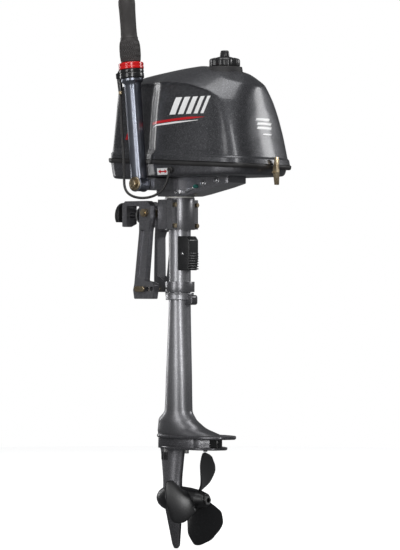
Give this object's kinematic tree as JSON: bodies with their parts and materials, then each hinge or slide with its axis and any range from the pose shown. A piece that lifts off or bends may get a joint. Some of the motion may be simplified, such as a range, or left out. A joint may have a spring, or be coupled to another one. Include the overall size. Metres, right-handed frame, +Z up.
{
  "type": "outboard motor",
  "caption": "Small portable outboard motor with a charcoal cowl, folding tiller, transom clamp, slim leg and a three-bladed propeller.",
  "frame": {"origin": "centre of the underside of the saddle that rests on the top of the transom, midway between the clamp arms", "axes": "+X aft, +Y starboard, +Z up"},
  "size_m": [0.3875, 0.231, 1.0582],
  "materials": {
    "cowl_paint": "metallic charcoal paint",
    "bracket_paint": "metallic dark grey paint",
    "leg_paint": "metallic grey paint",
    "black_paint": "satin black paint",
    "tiller_alloy": "polished grey anodised",
    "cast_alloy": "cast",
    "steel": "machined",
    "zinc_steel": "yellow zinc plated",
    "nylon": "moulded",
    "black_plastic": "moulded",
    "tank_plastic": "moulded",
    "red_plastic": "moulded",
    "rubber": "moulded",
    "cord": "braided",
    "propeller_black": "gloss black paint"
  },
  "bodies": {
    "clamp": {"clamp_arm_port": "bracket_paint", "clamp_arm_starboard": "bracket_paint", "transom_saddle": "bracket_paint", "tilt_bolt": "zinc_steel", "tilt_nut_and_spacers": "zinc_steel", "thrust_pin": "zinc_steel"},
    "pad_port": {"clamp_pad_port": "steel"},
    "pad_starboard": {"clamp_pad_starboard": "steel"},
    "screw_port": {"clamp_screw_port": "black_plastic"},
    "screw_starboard": {"clamp_screw_starboard": "black_plastic"},
    "swivel": {"swivel_bracket": "bracket_paint", "swivel_cap": "bracket_paint", "swivel_bolts": "steel", "swivel_bushes": "nylon"},
    "motor": {"drive_shaft_housing": "leg_paint", "leg_collar": "black_paint", "leg_bumper": "rubber", "splash_plate": "leg_paint", "gear_case": "leg_paint", "bearing_carrier": "steel", "anode": "black_paint", "engine_base": "bracket_paint", "lower_cowl": "cowl_paint", "cowl_seal": "rubber", "crankcase": "cast_alloy", "cylinder": "cast_alloy", "cylinder_head": "cast_alloy", "hex_bolts": "steel", "piston": "cast_alloy", "spark_plug": "steel", "starter_housing": "black_plastic", "fuel_tank": "tank_plastic", "carburettor": "cast_alloy", "air_silencer": "black_plastic", "ignition_coil": "black_plastic", "water_tube": "steel", "tiller_bolt": "zinc_steel", "throttle_cable": "rubber", "starter_rope": "cord"},
    "crank": {"crankshaft": "steel", "flywheel": "cast_alloy", "drive_shaft": "steel", "pinion": "steel", "impeller": "rubber"},
    "prop": {"propeller_shaft": "steel", "driven_gear": "steel", "propeller": "propeller_black", "propeller_nut": "steel"},
    "top_cowl": {"top_cowl": "cowl_paint"},
    "fuel_cap": {"fuel_cap": "black_plastic"},
    "vent_knob": {"vent_knob": "black_plastic"},
    "latch": {"latch_lever": "zinc_steel"},
    "tiller": {"tiller_tube": "tiller_alloy", "throttle_housing": "black_paint", "friction_ring": "red_plastic"},
    "grip": {"throttle_grip": "rubber"},
    "starter": {"starter_grip": "black_plastic"},
    "choke": {"choke_knob": "black_plastic"},
    "stop": {"stop_button": "red_plastic"},
    "cock": {"fuel_cock": "black_plastic"}
  },
  "joints": [
    {"name": "tilt", "type": "hinge", "parent": "clamp", "child": "swivel", "pos_m": [0.03, 0, -0.0135], "axis": [0, 1, 0], "range_deg": [-52, 0]},
    {"name": "steer", "type": "hinge", "parent": "swivel", "child": "motor", "pos_m": [0.07, 0, 0], "axis": [0, 0, 1], "continuous": true},
    {"name": "pad_port_slide", "type": "slide", "parent": "clamp", "child": "pad_port", "axis": [-1, 0, 0], "range_m": [0, 0.015]},
    {"name": "pad_starboard_slide", "type": "slide", "parent": "clamp", "child": "pad_starboard", "axis": [-1, 0, 0], "range_m": [0, 0.015]},
    {"name": "screw_port_turn", "type": "hinge", "parent": "pad_port", "child": "screw_port", "pos_m": [0, -0.042, -0.018], "axis": [1, 0, 0], "range_deg": [-1800, 0]},
    {"name": "screw_starboard_turn", "type": "hinge", "parent": "pad_starboard", "child": "screw_starboard", "pos_m": [0, 0.042, -0.018], "axis": [1, 0, 0], "range_deg": [-1800, 0]},
    {"name": "crank_spin", "type": "hinge", "parent": "motor", "child": "crank", "pos_m": [0.058, 0, 0], "axis": [0, 0, 1], "continuous": true},
    {"name": "prop_spin", "type": "hinge", "parent": "motor", "child": "prop", "pos_m": [0.058, 0, -0.564], "axis": [1, 0, 0], "continuous": true},
    {"name": "cowl_lift", "type": "slide", "parent": "motor", "child": "top_cowl", "axis": [0, 0, 1], "range_m": [0, 0.16]},
    {"name": "fuel_cap_turn", "type": "hinge", "parent": "motor", "child": "fuel_cap", "pos_m": [0.179, 0, 0.27], "axis": [0, 0, 1], "range_deg": [0, 360]},
    {"name": "vent_turn", "type": "hinge", "parent": "fuel_cap", "child": "vent_knob", "pos_m": [0.179, 0, 0.285], "axis": [0, 0, 1], "range_deg": [0, 360]},
    {"name": "latch_turn", "type": "hinge", "parent": "motor", "child": "latch", "pos_m": [0.299, 0, 0.06], "axis": [0, 1, 0], "range_deg": [0, 32]},
    {"name": "tiller_fold", "type": "hinge", "parent": "motor", "child": "tiller", "pos_m": [0.048, -0.096, 0.0405], "axis": [0, -1, 0], "range_deg": [0, 85], "deforming": ["throttle_cable"]},
    {"name": "throttle_twist", "type": "hinge", "parent": "tiller", "child": "grip", "pos_m": [0.048, -0.096, 0.0405], "axis": [-0.0906, 0, 0.9959], "range_deg": [0, 90]},
    {"name": "starter_pull", "type": "slide", "parent": "motor", "child": "starter", "axis": [-1, 0, 0], "range_m": [0, 0.3], "stiffness_N_per_m": 15, "deforming": ["starter_rope"]},
    {"name": "choke_pull", "type": "slide", "parent": "motor", "child": "choke", "axis": [-1, 0, 0], "range_m": [0, 0.012]},
    {"name": "stop_press", "type": "slide", "parent": "motor", "child": "stop", "axis": [1, 0, 0], "range_m": [0, 0.003], "stiffness_N_per_m": 400},
    {"name": "fuel_cock_turn", "type": "hinge", "parent": "motor", "child": "cock", "pos_m": [0.13, 0.1, 0.068], "axis": [0, 1, 0], "range_deg": [0, 90]}
  ],
  "couplings": [
    {"joint": "screw_port_turn", "follows": "pad_port_slide", "rad_per_m": -2094.4},
    {"joint": "screw_starboard_turn", "follows": "pad_starboard_slide", "rad_per_m": -2094.4},
    {"joint": "prop_spin", "follows": "crank_spin", "ratio": 0.54167}
  ]
}
